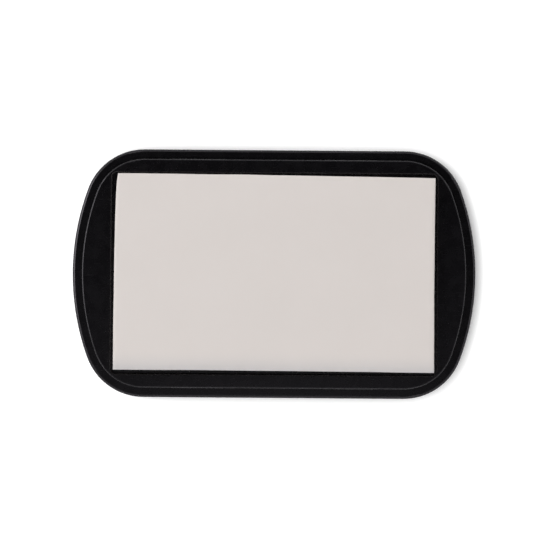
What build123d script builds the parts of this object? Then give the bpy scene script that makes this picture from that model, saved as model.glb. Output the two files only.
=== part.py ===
from build123d import *
from math import atan2, degrees, sqrt
import os

# Raised ink pad, open for use: the base stands in its own upturned lid.
# Millimetres. +X along the case, +Z up, origin under the centre of the lid on the resting surface.

# Case outline: straight long sides, round corners, gently bowed ends
CASE_LENGTH = 95.25
CASE_WIDTH = 58.6
END_RADIUS = 58.0
CORNER_RADIUS = 14.25

# Lid, open side up
LID_HEIGHT = 10.8
LID_PLATE = 1.6
LID_WALL = 1.8
LID_FILLET = 1.5
LID_INNER_FILLET = 0.6
RIM_FILLET = 0.3
NOTCH_WIDTH = 14.0
NOTCH_DEPTH = 1.0

# Base: flange on the lid's rim, platform above it, skirt inside the lid
FLANGE_THICKNESS = 2.0
FLANGE_FILLET = 0.7
PLATFORM_INSET = 2.4
PLATFORM_RISE = 3.0
PLATFORM_FILLET = 0.3
SKIRT_DEPTH = 6.2
BASE_WALL = 1.3
DECK_THICKNESS = 1.6

# Well in the platform, with the pad in it
PAD_LENGTH = 75.0
PAD_WIDTH = 45.8
WELL_GAP = 0.85
WELL_DEPTH = 2.2
WELL_FLOOR = 1.4
WELL_WALL = 1.0
WELL_RADIUS = 1.2
WELL_FILLET = 0.25

# Layers of the pad, from the well's floor up
TAPE_THICKNESS = 0.2
FELT_THICKNESS = 2.0
FOAM_THICKNESS = 3.2
CLOTH_THICKNESS = 0.6

# Ribs under the base, around a flat panel for the label
PANEL_LENGTH = 64.0
PANEL_WIDTH = 32.0
PANEL_RADIUS = 3.0
RIB_THICKNESS = 1.0
RIB_DEPTH = 1.5
LONG_RIBS_Y = (-11.0, 0.0, 11.0)
CROSS_RIBS_X = (-22.0, 0.0, 22.0)

# Snap beads along the straight sides, low on the base and fuller on the lid
BEAD_RADIUS = 0.6
BEAD_LENGTH = 12.0
BASE_BEAD_PROUD = 0.1
LID_BEAD_PROUD = 0.4
BEADS_X = 18.0
BASE_BEAD_FROM_FLANGE = 1.8
LID_BEAD_FROM_RIM = 2.6

# Inner cover: a shallow cap for the pad's face, kept in the bottom of the lid
COVER_LENGTH = 77.2
COVER_WIDTH = 48.2
COVER_RADIUS = 2.0
COVER_DEPTH = 2.3
COVER_SHEET = 0.5
COVER_FILLET = 0.7

# Faint round marks of the mould's ejector pins
EJECTOR_RADIUS = 2.0
EJECTOR_DEPTH = 0.12
LID_EJECTORS = [(x, y) for x in (-30.0, 0.0, 30.0) for y in (-17.0, 17.0)]
BASE_EJECTORS = [(x, y) for x in (-28.0, 28.0) for y in (-20.5, 20.5)]

# Labels, and the lid's recess for one
LABEL_THICKNESS = 0.15
LABEL_RADIUS = 2.0
BASE_LABEL = (60.0, 28.0)
LID_LABEL = (61.0, 37.0)
RECESS_MARGIN = 0.5
RECESS_DEPTH = 0.4

# Heights that follow from the stack
flange_low = LID_HEIGHT
flange_top = flange_low + FLANGE_THICKNESS
skirt_low = flange_low - SKIRT_DEPTH
deck_top = flange_top + PLATFORM_RISE
deck_under = deck_top - DECK_THICKNESS
floor_top = deck_top - WELL_DEPTH
floor_under = floor_top - WELL_FLOOR


def case_outline(inset):
    """The case's outline as a face, moved in by inset all round."""
    end_radius = END_RADIUS - inset
    corner_radius = CORNER_RADIUS - inset
    end_x = CASE_LENGTH / 2 - END_RADIUS
    corner_y = CASE_WIDTH / 2 - CORNER_RADIUS
    corner_x = end_x + sqrt((END_RADIUS - CORNER_RADIUS) ** 2 - corner_y**2)
    turn = degrees(atan2(corner_y, corner_x - end_x))
    end = CenterArc((end_x, 0), end_radius, -turn, 2 * turn)
    corner = CenterArc((corner_x, corner_y), corner_radius, turn, 90 - turn)
    right = [end, corner, mirror(corner, Plane.XZ)]
    left = [mirror(arc, Plane.YZ) for arc in right]
    side_y = corner_y + corner_radius
    sides = [Line((-corner_x, y), (corner_x, y)) for y in (-side_y, side_y)]
    return make_face(right + left + sides)


def slab(face, low, high):
    """The face raised from height low to height high."""
    return Pos(0, 0, low) * extrude(face, high - low)


def round_top(solid, radius):
    return fillet(solid.edges().group_by(Axis.Z)[-1], radius)


def round_bottom(solid, radius):
    return fillet(solid.edges().group_by(Axis.Z)[0], radius)


def snap_beads(wall_y, height):
    """Four round-ended beads whose axes are wall_y from the middle, two on each long side."""
    rod = Rot(0, 90, 0) * Cylinder(BEAD_RADIUS, BEAD_LENGTH)
    ends = [Pos(x, 0, 0) * Sphere(BEAD_RADIUS) for x in (-BEAD_LENGTH / 2, BEAD_LENGTH / 2)]
    bead = rod + ends
    return [Pos(x, y, height) * bead for x in (-BEADS_X, BEADS_X) for y in (-wall_y, wall_y)]


def under_ribs():
    """Ribs from the label panel's frame out to the skirt."""
    low = floor_under - RIB_DEPTH
    panel = RectangleRounded(PANEL_LENGTH, PANEL_WIDTH, PANEL_RADIUS)
    ribs = offset(panel, RIB_THICKNESS)
    for y in LONG_RIBS_Y:
        ribs += Pos(0, y) * Rectangle(CASE_LENGTH, RIB_THICKNESS)
    for x in CROSS_RIBS_X:
        ribs += Pos(x, 0) * Rectangle(RIB_THICKNESS, CASE_WIDTH)
    return slab(ribs - panel, low, deck_under)


def ejector_marks(places, face_height):
    """Discs that sink EJECTOR_DEPTH into a level face."""
    disc = Cylinder(EJECTOR_RADIUS, 2 * EJECTOR_DEPTH)
    return [Pos(x, y, face_height) * disc for x, y in places]


def base_case():
    flange = slab(case_outline(0), flange_low, flange_top)
    flange = round_bottom(round_top(flange, FLANGE_FILLET), RIM_FILLET)
    body = slab(case_outline(PLATFORM_INSET), skirt_low, deck_top)
    body = round_bottom(round_top(body, PLATFORM_FILLET), RIM_FILLET)

    well_length = PAD_LENGTH + 2 * WELL_GAP
    well_width = PAD_WIDTH + 2 * WELL_GAP
    tray = RectangleRounded(
        well_length + 2 * WELL_WALL, well_width + 2 * WELL_WALL, WELL_RADIUS + WELL_WALL
    )
    hollow = slab(case_outline(PLATFORM_INSET + BASE_WALL), skirt_low, deck_under)
    hollow -= slab(tray, floor_under, deck_under)
    hollow -= under_ribs()
    well = slab(RectangleRounded(well_length, well_width, WELL_RADIUS), floor_top, deck_top)

    case = flange + body - hollow - well - ejector_marks(BASE_EJECTORS, floor_under)
    deck = case.faces().sort_by(Axis.Z)[-1]
    case = fillet(deck.inner_wires()[0].edges(), WELL_FILLET)
    bead_y = CASE_WIDTH / 2 - PLATFORM_INSET + BASE_BEAD_PROUD - BEAD_RADIUS
    for height in (flange_low - BASE_BEAD_FROM_FLANGE, flange_top + BASE_BEAD_FROM_FLANGE):
        case += snap_beads(bead_y, height)
    return case


def lid_shell():
    shell = slab(case_outline(0), 0, LID_HEIGHT)
    shell = round_bottom(round_top(shell, RIM_FILLET), LID_FILLET)
    inside = slab(case_outline(LID_WALL), LID_PLATE, LID_HEIGHT)
    shell -= round_bottom(inside, LID_INNER_FILLET)
    shell -= ejector_marks(LID_EJECTORS, LID_PLATE)
    length, width = (side + 2 * RECESS_MARGIN for side in LID_LABEL)
    shell -= slab(RectangleRounded(length, width, LABEL_RADIUS + RECESS_MARGIN), 0, RECESS_DEPTH)

    notch_radius = ((NOTCH_WIDTH / 2) ** 2 + NOTCH_DEPTH**2) / (2 * NOTCH_DEPTH)
    notch_height = LID_HEIGHT - NOTCH_DEPTH + notch_radius
    shell -= Pos(0, 0, notch_height) * Rot(90, 0, 0) * Cylinder(notch_radius, CASE_WIDTH + 2)
    bead_y = CASE_WIDTH / 2 - LID_WALL - LID_BEAD_PROUD + BEAD_RADIUS
    return shell + snap_beads(bead_y, LID_HEIGHT - LID_BEAD_FROM_RIM)


def inner_cover():
    outer = RectangleRounded(COVER_LENGTH, COVER_WIDTH, COVER_RADIUS)
    inner = offset(outer, -COVER_SHEET)
    cap = round_bottom(slab(outer, LID_PLATE, LID_PLATE + COVER_DEPTH), COVER_FILLET)
    space = slab(inner, LID_PLATE + COVER_SHEET, LID_PLATE + COVER_DEPTH)
    return cap - round_bottom(space, COVER_FILLET - COVER_SHEET)


def pad_layer(low, thickness):
    return slab(Rectangle(PAD_LENGTH, PAD_WIDTH), low, low + thickness)


def label(size, low):
    return slab(RectangleRounded(*size, LABEL_RADIUS), low, low + LABEL_THICKNESS)


felt_low = floor_top + TAPE_THICKNESS
foam_low = felt_low + FELT_THICKNESS
cloth_low = foam_low + FOAM_THICKNESS

nodes = {
    "base_case": base_case(),
    "pad_tape": pad_layer(floor_top, TAPE_THICKNESS),
    "reservoir_felt": pad_layer(felt_low, FELT_THICKNESS),
    "pad_foam": pad_layer(foam_low, FOAM_THICKNESS),
    "pad_cloth": pad_layer(cloth_low, CLOTH_THICKNESS),
    "base_label": label(BASE_LABEL, floor_under - LABEL_THICKNESS),
    "lid_shell": lid_shell(),
    "lid_label": label(LID_LABEL, RECESS_DEPTH - LABEL_THICKNESS),
    "inner_cover": inner_cover(),
}

os.makedirs("parts", exist_ok=True)
for name, solid in nodes.items():
    export_step(solid, f"parts/{name}.step")
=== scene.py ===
"""Looks for a raised craft ink pad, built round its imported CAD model. Metres, +Z up, in the CAD's frame."""
import math

import bpy
import numpy as np
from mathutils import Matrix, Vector, noise


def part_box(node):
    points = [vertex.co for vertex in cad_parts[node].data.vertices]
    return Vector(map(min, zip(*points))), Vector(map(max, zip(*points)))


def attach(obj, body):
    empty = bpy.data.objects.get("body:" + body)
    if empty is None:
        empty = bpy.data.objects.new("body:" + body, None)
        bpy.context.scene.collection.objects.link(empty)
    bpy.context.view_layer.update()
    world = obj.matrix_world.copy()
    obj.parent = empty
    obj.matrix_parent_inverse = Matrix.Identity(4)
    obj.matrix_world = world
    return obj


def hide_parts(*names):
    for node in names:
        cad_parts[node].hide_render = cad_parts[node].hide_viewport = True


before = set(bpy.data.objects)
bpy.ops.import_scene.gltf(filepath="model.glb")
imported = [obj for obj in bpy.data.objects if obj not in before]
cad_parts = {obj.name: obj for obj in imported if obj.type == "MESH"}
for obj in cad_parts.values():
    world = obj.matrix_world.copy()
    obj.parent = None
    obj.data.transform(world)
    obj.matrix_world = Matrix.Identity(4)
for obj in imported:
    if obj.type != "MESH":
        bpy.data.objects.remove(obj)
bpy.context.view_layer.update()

MM = 0.001

# How the die-cut pad sits in its well, and how its outline and edges differ from a perfect block
PAD_SHIFT = (0.17 * MM, 0.15 * MM)
PAD_TURN = math.radians(-0.32)
FAR_SIDE_TAPER = 0.003
RIGHT_SIDE_TAPER = 0.0045
PAD_BEND = (0.13 * MM, 0.10 * MM)
CORNER_PULL = 0.45 * MM
CORNER_PULL_REACH = 2.6 * MM
EDGE_WANDER = 0.05 * MM
WANDER_LENGTH = 9 * MM
FACE_RIPPLE = 0.025 * MM
RIPPLE_LENGTH = 13 * MM
ROLL_WIDTH = 0.8 * MM
ROLL_DEPTH = 0.14 * MM
NEAR_ROLL_WIDTH = 2.6 * MM
NEAR_ROLL_DEPTH = 0.55 * MM
CUT_EDGE_THICKNESS = 0.3 * MM
LAYER_GAP = 0.02 * MM
FELT_INSET = 0.12 * MM
TAPE_INSET = 0.3 * MM

# Rings down a layer's cut side: share of the way down, and how far in. The die leaves foam and felt slightly
# hollow, and the cloth bulges a little.
HOLLOW_SIDE = [(0.12, 0.03 * MM), (0.3, 0.09 * MM), (0.5, 0.13 * MM), (0.7, 0.12 * MM), (0.88, 0.05 * MM)]
BULGED_SIDE = [(0.15, -0.03 * MM), (0.85, -0.01 * MM)]

# Grid of a layer's mesh: steps in from each edge, then an even step
EDGE_STEPS = [0.08 * MM, 0.2 * MM, 0.36 * MM, 0.58 * MM, 0.85 * MM, 1.2 * MM, 1.65 * MM, 2.2 * MM]
GRID_STEP = 0.7 * MM
HIDDEN_GRID_STEP = 4 * MM
SHARP_ANGLE = math.radians(50)

# Details of the finishes that have a place or a strength of their own
# Width and strength of the painted shade along the pad's near edge
NEAR_SHADE_WIDTH = 4.6 * MM
NEAR_SHADE = 0.24
WEAVE_PITCH = 0.34 * MM
BORDER_INSET = 2.6 * MM
BORDER_HALF_WIDTH = 0.22 * MM
RULE_SPACING = 6.4 * MM
RULE_HALF_WIDTH = 0.09 * MM
RULE_TO_BORDER = 3.0 * MM
COVER_OPACITY = 0.38

# Camera: far and square above the pad, framed by the width it sees at the height of the flange's edge, which
# is FLANGE_EDGE above the lid
CAMERA_DISTANCE = 0.80
VIEW_WIDTH = 130.05 * MM
CAMERA_OFFSET = (0.23 * MM, -0.20 * MM)
CAMERA_TURN = math.radians(0.437)
FLANGE_EDGE = 1.3 * MM

# Light. The dome's brightness at each sine of the height above the horizon: pale at the horizon, dimmer just
# above it, brightest half-way up and dark overhead. The floor's glow fades this close to the object, a
# painted shadow that is deepest on the sides that the lean points away from, as if the object shaded the
# floor from the key light.
DOME = [(0.0, 1.0), (0.06, 1.0), (0.12, 0.25), (0.40, 0.40), (0.55, 1.50), (0.72, 1.50), (0.86, 0.012)]
FLOOR_GLOW = 0.70
CONTACT_REACH = 3.4 * MM
SHADOW_LEAN = (-0.50, -0.14, 0.85)
FLOOR_HALF = 4.0
FLOOR_DROP = 0.02 * MM


# ---------------------------------------------------------------- materials


class Finish:
    """A Principled material, with short calls for the nodes that feed it. Places are in metres."""

    def __init__(self, name, **constants):
        self.material = bpy.data.materials.new(name)
        self.material.use_nodes = True
        self.tree = self.material.node_tree
        self.shader = self.tree.nodes["Principled BSDF"]
        for socket, value in constants.items():
            self.shader.inputs[socket.replace("_", " ")].default_value = value
        self.place = self.node("ShaderNodeTexCoord").outputs["Object"]

    def node(self, kind, **settings):
        made = self.tree.nodes.new(kind)
        for key, value in settings.items():
            setattr(made, key, value)
        return made

    def feed(self, socket, value):
        """Links an output to a socket, or sets the socket's own value."""
        if isinstance(value, bpy.types.NodeSocket):
            self.tree.links.new(value, socket)
        else:
            socket.default_value = value

    def math(self, operation, *values, clamp=False):
        """The result of a Math node on the values."""
        made = self.node("ShaderNodeMath", operation=operation, use_clamp=clamp)
        for socket, value in zip(made.inputs, values):
            self.feed(socket, value)
        return made.outputs[0]

    def noise(self, size, detail=2.0, roughness=0.5, place=None):
        """Noise from 0 to 1 whose features are about size across."""
        made = self.node("ShaderNodeTexNoise")
        self.feed(made.inputs["Vector"], place or self.place)
        made.inputs["Scale"].default_value = 1 / size
        made.inputs["Detail"].default_value = detail
        made.inputs["Roughness"].default_value = roughness
        return made.outputs["Fac"]

    def cells(self, size):
        """Distance from the middles of cells about size across, in cells."""
        made = self.node("ShaderNodeTexVoronoi", feature="F1")
        self.feed(made.inputs["Vector"], self.place)
        made.inputs["Scale"].default_value = 1 / size
        return made.outputs["Distance"]

    def stretched(self, factors):
        """The place scaled by factors, for marks that run one way."""
        made = self.node("ShaderNodeVectorMath", operation="MULTIPLY")
        self.feed(made.inputs[0], self.place)
        made.inputs[1].default_value = factors
        return made.outputs[0]

    def axes(self, place=None):
        """The x, y and z of a place."""
        made = self.node("ShaderNodeSeparateXYZ")
        self.feed(made.inputs[0], place or self.place)
        return made.outputs

    def ranged(self, value, low, high, to_low, to_high):
        """The value moved from the range low to high to the range to_low to to_high, and kept inside it."""
        made = self.node("ShaderNodeMapRange")
        for socket, number in zip(made.inputs, (value, low, high, to_low, to_high)):
            self.feed(socket, number)
        return made.outputs[0]

    def blend(self, share, first, second):
        """Colour first where share is 0, second where it is 1."""
        made = self.node("ShaderNodeMix", data_type="RGBA")
        self.feed(made.inputs["Factor"], share)
        for socket, colour in zip((made.inputs["A"], made.inputs["B"]), (first, second)):
            colours = [s for s in made.inputs if s.name == socket.name and s.type == "RGBA"]
            self.feed(colours[0], colour)
        return [s for s in made.outputs if s.type == "RGBA"][0]

    def bump(self, height, depth, under=None):
        """Relief from a height of 0 to 1 over depth metres, on top of another bump."""
        made = self.node("ShaderNodeBump")
        self.feed(made.inputs["Height"], height)
        made.inputs["Distance"].default_value = depth
        if under is not None:
            self.feed(made.inputs["Normal"], under)
        return made.outputs[0]

    def set(self, **links):
        """Feeds the shader's sockets, named with _ for a space, and returns the finished material."""
        for socket, value in links.items():
            self.feed(self.shader.inputs[socket.replace("_", " ")], value)
        return self.material


def case_plastic():
    """Black moulded plastic, semi-gloss with a fine eroded grain, faint flow marks and light scuffs."""
    f = Finish("case_plastic", IOR=1.5, Specular_IOR_Level=0.5, Specular_Tint=(0.97, 0.92, 1.0, 1))
    mottle = f.noise(9 * MM, 3)
    grain = f.noise(0.13 * MM, 2, 0.6)
    waves = f.noise(7 * MM, 1)
    scuffs = f.noise(0.5 * MM, 4, 0.65, f.stretched((0.10, 1.0, 1.0)))
    scuffs = f.ranged(scuffs, 0.62, 0.78, 0.0, 1.0)
    colour = f.blend(mottle, (0.0005, 0.0004, 0.0008, 1), (0.0009, 0.0008, 0.0013, 1))
    colour = f.blend(f.math("MULTIPLY", scuffs, 0.12), colour, (0.020, 0.019, 0.022, 1))
    rough = f.ranged(f.noise(2.5 * MM, 4, 0.6), 0.3, 0.7, 0.24, 0.30)
    rough = f.math("ADD", rough, f.math("MULTIPLY", scuffs, 0.08))
    relief = f.bump(waves, 0.008 * MM)
    relief = f.bump(grain, 0.003 * MM, relief)
    return f.set(Base_Color=colour, Roughness=rough, Normal=relief)


def weave(f, pitch, place):
    """Height from 0 to 1 of a plain weave of that pitch: threads that pass over and under."""
    x, y, _ = f.axes(place)
    turn = 2 * math.pi / pitch
    along = f.math("SINE", f.math("MULTIPLY", x, turn))
    across = f.math("SINE", f.math("MULTIPLY", y, turn))
    over = f.math("MULTIPLY", along, across)
    ridges = f.math("MAXIMUM", f.math("ABSOLUTE", along), f.math("ABSOLUTE", across))
    height = f.math("ADD", f.math("MULTIPLY", over, 0.3), f.math("MULTIPLY", ridges, 0.4))
    return f.math("ADD", height, 0.3)


def pad_cloth():
    """Close warm off-white cloth: a fine weave that wanders a little, soft sheen, faint mottling, and painted
    shade on
    the near side: a slightly greyer, cooler band that stands in for the shade where the face rolls down
    there."""
    f = Finish("pad_cloth", Roughness=0.9, IOR=1.45, Specular_IOR_Level=0.2)
    f.shader.inputs["Sheen Weight"].default_value = 0.15
    f.shader.inputs["Sheen Roughness"].default_value = 0.5
    drift = f.node("ShaderNodeTexNoise")
    f.feed(drift.inputs["Vector"], f.place)
    drift.inputs["Scale"].default_value = 1 / (4 * MM)
    drifted = f.node("ShaderNodeVectorMath", operation="MULTIPLY_ADD")
    f.feed(drifted.inputs[0], drift.outputs["Color"])
    drifted.inputs[1].default_value = (0.25 * MM,) * 3
    f.feed(drifted.inputs[2], f.place)
    threads = weave(f, WEAVE_PITCH, drifted.outputs[0])
    fibres = f.noise(0.09 * MM, 3, 0.7)
    patches = f.noise(16 * MM, 3, 0.55)
    colour = f.blend(patches, (0.731, 0.681, 0.652, 1), (0.760, 0.707, 0.681, 1))
    shade = f.ranged(threads, 0.2, 0.8, 0.10, 0.0)
    colour = f.blend(shade, colour, (0.52, 0.47, 0.44, 1))
    colour = f.blend(f.ranged(fibres, 0.35, 0.7, 0.06, 0.0), colour, (0.60, 0.55, 0.52, 1))
    # Painted shade: a greyer, cooler band along the pad's near edge, for the shade where the face rolls down
    x, y, _ = f.axes()
    up_the_pad = f.math("ADD", f.math("MULTIPLY", x, -math.sin(PAD_TURN)), y)
    near_edge = PAD_SHIFT[1] - pad_half[1]
    painted_edge_shade = f.ranged(up_the_pad, near_edge, near_edge + NEAR_SHADE_WIDTH, 1.0, 0.0)
    painted_edge_shade = f.math("POWER", painted_edge_shade, 1.6)
    colour = f.blend(f.math("MULTIPLY", painted_edge_shade, NEAR_SHADE), colour, (0.25, 0.32, 0.40, 1))
    relief = f.bump(threads, 0.034 * MM)
    relief = f.bump(fibres, 0.016 * MM, relief)
    return f.set(Base_Color=colour, Normal=relief)


def pad_foam():
    """Fine open-cell foam, cut clean: small pores whose middles are darkened with painted shade."""
    f = Finish("pad_foam", Roughness=0.95, Specular_IOR_Level=0.15)
    pores = f.cells(0.42 * MM)
    small = f.cells(0.19 * MM)
    depth = f.math("MULTIPLY", f.math("ADD", pores, small), 0.6, clamp=True)
    colour = f.blend(f.noise(6 * MM, 2), (0.74, 0.70, 0.66, 1), (0.68, 0.64, 0.60, 1))
    # Painted shade: darker colour in the pores' middles, for the shade inside them
    colour = f.blend(f.ranged(depth, 0.15, 0.50, 0.80, 0.0), colour, (0.34, 0.30, 0.26, 1))
    relief = f.bump(depth, 0.14 * MM)
    return f.set(Base_Color=colour, Normal=relief)


def reservoir_felt():
    """Pressed felt: tangled fibres that run mostly along the sheet."""
    f = Finish("reservoir_felt", Roughness=0.95, Specular_IOR_Level=0.15, Sheen_Weight=0.2)
    fibres = f.noise(0.16 * MM, 5, 0.7, f.stretched((0.35, 0.35, 1.6)))
    colour = f.blend(fibres, (0.58, 0.54, 0.48, 1), (0.76, 0.73, 0.68, 1))
    return f.set(Base_Color=colour, Normal=f.bump(fibres, 0.09 * MM))


def tape():
    """Double-sided tape: pale film with a slight yellow cast at its thick spots."""
    f = Finish("pad_tape", IOR=1.47)
    spots = f.noise(1.4 * MM, 3)
    colour = f.blend(spots, (0.80, 0.78, 0.71, 1), (0.70, 0.66, 0.55, 1))
    return f.set(Base_Color=colour, Roughness=f.ranged(spots, 0.3, 0.7, 0.35, 0.55))


def label_paper(name, half_length, half_width):
    """Coated paper with a plain printed border and blank lines to write on."""
    f = Finish(name, IOR=1.48, Coat_Weight=0.15, Coat_Roughness=0.25)
    x, y, _ = f.axes()
    past_x = f.math("SUBTRACT", f.math("ABSOLUTE", x), half_length - BORDER_INSET)
    past_y = f.math("SUBTRACT", f.math("ABSOLUTE", y), half_width - BORDER_INSET)
    past_border = f.math("MAXIMUM", past_x, past_y)
    border = f.math("LESS_THAN", f.math("ABSOLUTE", past_border), BORDER_HALF_WIDTH)
    from_rule = f.math("ABSOLUTE", f.math("WRAP", y, -RULE_SPACING / 2, RULE_SPACING / 2))
    inside = f.math("LESS_THAN", past_border, -RULE_TO_BORDER)
    rules = f.math("MULTIPLY", f.math("LESS_THAN", from_rule, RULE_HALF_WIDTH), inside)
    ink = f.math("MAXIMUM", border, f.math("MULTIPLY", rules, 0.6))
    fibres = f.noise(0.5 * MM, 4, 0.65)
    paper = f.blend(fibres, (0.74, 0.73, 0.70, 1), (0.82, 0.81, 0.79, 1))
    colour = f.blend(f.math("MULTIPLY", ink, 0.85), paper, (0.09, 0.10, 0.12, 1))
    relief = f.bump(fibres, 0.006 * MM)
    return f.set(Base_Color=colour, Roughness=f.ranged(fibres, 0.3, 0.7, 0.38, 0.52), Normal=relief)


def cover_plastic():
    """Thin milky film, thermoformed: one can see through it, and it has slight waves and a fine haze."""
    f = Finish("cover_plastic", IOR=1.49, Alpha=COVER_OPACITY)
    haze = f.noise(5 * MM, 3, 0.5)
    colour = f.blend(haze, (0.80, 0.84, 0.86, 1), (0.86, 0.89, 0.90, 1))
    relief = f.bump(f.noise(9 * MM, 2), 0.006 * MM)
    return f.set(Base_Color=colour, Roughness=f.ranged(haze, 0.3, 0.7, 0.30, 0.42), Normal=relief)


def dress(node, material):
    """Gives a CAD node its finish."""
    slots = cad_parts[node].data.materials
    slots.clear()
    slots.append(material)


# ---------------------------------------------------------------- the pad's layers


def wander(x, y, seed):
    """Smooth noise from -1 to 1, different for each seed."""
    return noise.noise(Vector((x / WANDER_LENGTH, y / WANDER_LENGTH, seed)))


def place_on_pad(x, y, seed, wide):
    """Where a point of the perfect rectangle lies on the real pad: tapered, bent, wavy, turned, shifted."""
    half_x, half_y = pad_half
    s, t = x / half_x, y / half_y
    real_x = x * (1 - FAR_SIDE_TAPER * t * wide) - PAD_BEND[0] * (1 - t * t)
    real_y = y * (1 - RIGHT_SIDE_TAPER * s * wide) + PAD_BEND[1] * (1 - s * s)
    from_corner = math.hypot(x + half_x, y - half_y)
    real_x += CORNER_PULL * math.exp(-from_corner / CORNER_PULL_REACH)
    if abs(s) > 0.999:
        real_x += EDGE_WANDER * wander(x, y, seed)
    if abs(t) > 0.999:
        real_y += EDGE_WANDER * wander(x, y, seed + 20)
    c, d = math.cos(PAD_TURN), math.sin(PAD_TURN)
    return c * real_x - d * real_y + PAD_SHIFT[0], d * real_x + c * real_y + PAD_SHIFT[1]


def face_drop(x, y):
    """How far the face lies below its highest level: a slow ripple, and edges rolled down by the die."""
    half_x, half_y = pad_half
    drop = FACE_RIPPLE * (1 + noise.noise(Vector((x / RIPPLE_LENGTH, y / RIPPLE_LENGTH, 3.0))))
    rolls = [
        (half_x - abs(x), ROLL_WIDTH, ROLL_DEPTH),
        (half_y - y, ROLL_WIDTH, ROLL_DEPTH),
        (half_y + y, NEAR_ROLL_WIDTH, NEAR_ROLL_DEPTH),
    ]
    for inward, width, depth in rolls:
        share = max(0.0, 1 - inward / width)
        drop += depth * share**2.2
    return drop


def spaced(half, step):
    """Grid lines from -half to half, about step apart and closer together near both ends."""
    inner = half - EDGE_STEPS[-1]
    count = 2 * round(inner / step)
    middle = np.linspace(-inner, inner, count + 1)
    near = [half - inward for inward in EDGE_STEPS[-2::-1]]
    return [-half, *(-v for v in near[::-1]), *middle, *near, half]


def slab_piece(name, top, bottom, material, wall, seed, wide=1.0, inset=0.0, step=GRID_STEP):
    """A closed layer of the pad. top and bottom give its height at a point, wall lists the rings of its cut
    side, seed sets how its edges wander, and wide is its share of the outline's taper."""
    xs = spaced(pad_half[0], step)
    ys = spaced(pad_half[1], step)
    across, down = len(xs), len(ys)
    verts, faces = [], []
    squeeze = (1 - inset / pad_half[0], 1 - inset / pad_half[1])
    for height in (top, bottom):
        for y in ys:
            for x in xs:
                at = place_on_pad(x, y, seed, wide)
                verts.append((at[0] * squeeze[0], at[1] * squeeze[1], height(x, y)))
    size = across * down
    for level in (0, 1):
        for j in range(down - 1):
            for i in range(across - 1):
                a = level * size + j * across + i
                quad = (a, a + 1, a + across + 1, a + across)
                faces.append(quad if level == 0 else quad[::-1])
    # The outermost points of the top grid, once round
    rim = list(range(across))
    rim += [j * across + across - 1 for j in range(1, down)]
    rim += [(down - 1) * across + i for i in range(across - 2, -1, -1)]
    rim += [j * across for j in range(down - 2, 0, -1)]
    rings = [rim]
    for share, inward in wall:
        ring = []
        for k in rim:
            high, low = Vector(verts[k]), Vector(verts[k + size])
            at = high.lerp(low, share)
            j, i = divmod(k, across)
            at.x += inward * ((i == 0) - (i == across - 1))
            at.y += inward * ((j == 0) - (j == down - 1))
            ring.append(len(verts))
            verts.append(at)
        rings.append(ring)
    rings.append([k + size for k in rim])
    for upper, lower in zip(rings, rings[1:]):
        for k in range(len(rim)):
            n = (k + 1) % len(rim)
            faces.append((upper[n], upper[k], lower[k], lower[n]))
    mesh = bpy.data.meshes.new(name)
    mesh.from_pydata(verts, [], faces)
    mesh.materials.append(material)
    mesh.shade_smooth()
    mesh.set_sharp_from_angle(angle=SHARP_ANGLE)
    piece = bpy.data.objects.new(name, mesh)
    bpy.context.scene.collection.objects.link(piece)
    return piece


def build_pad():
    """The four layers, from the face down."""
    cloth_low, cloth_high = (corner.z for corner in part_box("pad_cloth"))
    foam_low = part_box("pad_foam")[0].z
    felt_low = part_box("reservoir_felt")[0].z
    tape_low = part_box("pad_tape")[0].z

    def face_top(x, y):
        return cloth_high - face_drop(x, y)

    def face_under(x, y):
        inward = min(pad_half[0] - abs(x), pad_half[1] - abs(y))
        pinch = max(0.0, 1 - inward / ROLL_WIDTH) ** 2
        thickness = cloth_high - cloth_low
        return face_top(x, y) - thickness + (thickness - CUT_EDGE_THICKNESS) * pinch

    def flat(height):
        return lambda x, y: height

    def foam_top(x, y):
        return face_under(x, y) - LAYER_GAP

    foam_under, felt_under = flat(foam_low + LAYER_GAP), flat(felt_low + LAYER_GAP)
    hidden = dict(wide=0.0, step=HIDDEN_GRID_STEP)
    cloth = slab_piece("pad_face", face_top, face_under, pad_cloth(), BULGED_SIDE, 1.0)
    foam = slab_piece("foam_body", foam_top, foam_under, pad_foam(), HOLLOW_SIDE, 2.0)
    felt_top, tape_top, tape_under = flat(foam_low), flat(felt_low), flat(tape_low)
    felt = slab_piece(
        "felt_layer", felt_top, felt_under, reservoir_felt(), HOLLOW_SIDE, 3.0, inset=FELT_INSET, **hidden
    )
    strip = slab_piece("tape_sheet", tape_top, tape_under, tape(), [], 4.0, inset=TAPE_INSET, **hidden)
    layers = [
        (cloth, "pad_cloth", "pad_cloth"),
        (foam, "pad_foam", "foam"),
        (felt, "reservoir_felt", "felt"),
        (strip, "pad_tape", "tape"),
    ]
    for piece, node, slot in layers:
        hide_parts(node)
        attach(piece, "base")


# ---------------------------------------------------------------- stage, light and camera


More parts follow.
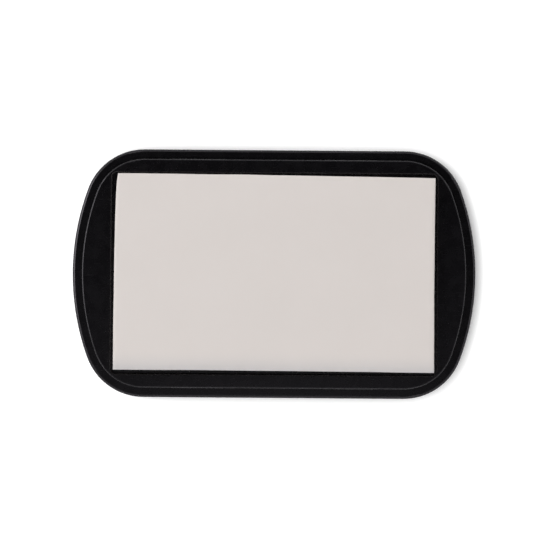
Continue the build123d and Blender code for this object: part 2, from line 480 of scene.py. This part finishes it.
def studio():
    """White floor that looks a little brighter than it is, with a painted shadow where that glow fades close
    to the object, and an even dome that is dark overhead, so that black plastic stays black."""
    mesh = bpy.data.meshes.new("floor")
    corners = [(x * FLOOR_HALF, y * FLOOR_HALF, 0) for x, y in ((-1, -1), (1, -1), (1, 1), (-1, 1))]
    mesh.from_pydata(corners, [], [(0, 1, 2, 3)])
    floor = bpy.data.objects.new("floor", mesh)
    floor.location.z = -FLOOR_DROP
    bpy.context.scene.collection.objects.link(floor)
    f = Finish("floor", Roughness=0.9, Specular_IOR_Level=0.1)
    tone = f.blend(f.noise(0.4, 2), (0.90, 0.90, 0.90, 1), (0.92, 0.92, 0.92, 1))
    # Painted shadow: the floor's glow fades near the object, leaning away from the key light
    painted_contact_shadow = f.node("ShaderNodeAmbientOcclusion", samples=16)
    painted_contact_shadow.inputs["Distance"].default_value = CONTACT_REACH
    lean = f.node("ShaderNodeCombineXYZ")
    for socket, value in zip(lean.inputs, SHADOW_LEAN):
        socket.default_value = value
    f.feed(painted_contact_shadow.inputs["Normal"], lean.outputs[0])
    glow = f.ranged(painted_contact_shadow.outputs["AO"], 0.40, 0.95, 0.0, FLOOR_GLOW)
    seen = f.node("ShaderNodeLightPath").outputs["Is Camera Ray"]
    glow = f.math("MULTIPLY", glow, seen)
    f.shader.inputs["Emission Color"].default_value = (1, 1, 1, 1)
    mesh.materials.append(f.set(Base_Color=tone, Emission_Strength=glow))

    world = bpy.data.worlds.new("studio")
    world.use_nodes = True
    bpy.context.scene.world = world
    tree = world.node_tree
    split = tree.nodes.new("ShaderNodeSeparateXYZ")
    glow = tree.nodes.new("ShaderNodeValToRGB")
    tree.links.new(tree.nodes.new("ShaderNodeTexCoord").outputs["Generated"], split.inputs[0])
    tree.links.new(split.outputs["Z"], glow.inputs[0])
    stops = glow.color_ramp.elements
    for _ in DOME[2:]:
        stops.new(0.5)
    for stop, (height, strength) in zip(stops, DOME):
        stop.position = height
        stop.color = (strength, strength, strength, 1)
    tree.links.new(glow.outputs["Color"], tree.nodes["Background"].inputs["Color"])


def soft_light(name, place, size, power):
    """A square soft box that faces the pad. Metres and watts."""
    light = bpy.data.lights.new(name, "AREA")
    light.shape = "SQUARE"
    light.size = size
    light.energy = power
    box = bpy.data.objects.new(name, light)
    box.location = place
    box.rotation_euler = (-Vector(place)).to_track_quat("-Z", "Y").to_euler()
    bpy.context.scene.collection.objects.link(box)


def camera():
    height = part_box("lid_shell")[1].z + FLANGE_EDGE + CAMERA_DISTANCE
    data = bpy.data.cameras.new("camera")
    data.sensor_width = 36
    data.lens = data.sensor_width * CAMERA_DISTANCE / VIEW_WIDTH
    data.clip_start, data.clip_end = 0.05, 20
    view = bpy.data.objects.new("camera", data)
    view.location = (*CAMERA_OFFSET, height)
    view.rotation_euler = (0, 0, CAMERA_TURN)
    bpy.context.scene.collection.objects.link(view)
    bpy.context.scene.camera = view


# ---------------------------------------------------------------- the whole scene

low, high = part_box("pad_foam")
pad_half = ((high.x - low.x) / 2, (high.y - low.y) / 2)

black = case_plastic()
dress("base_case", black)
dress("lid_shell", black)
dress("inner_cover", cover_plastic())
for node in ("base_label", "lid_label"):
    low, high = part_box(node)
    dress(node, label_paper(node, high.x, high.y))
build_pad()

studio()
soft_light("key", place=(-1.03, 0.23, 0.83), size=0.88, power=8.1)
soft_light("overhead", place=(0.0, -0.17, 0.80), size=0.12, power=0.09)
camera()
bpy.context.scene.view_settings.view_transform = "Standard"
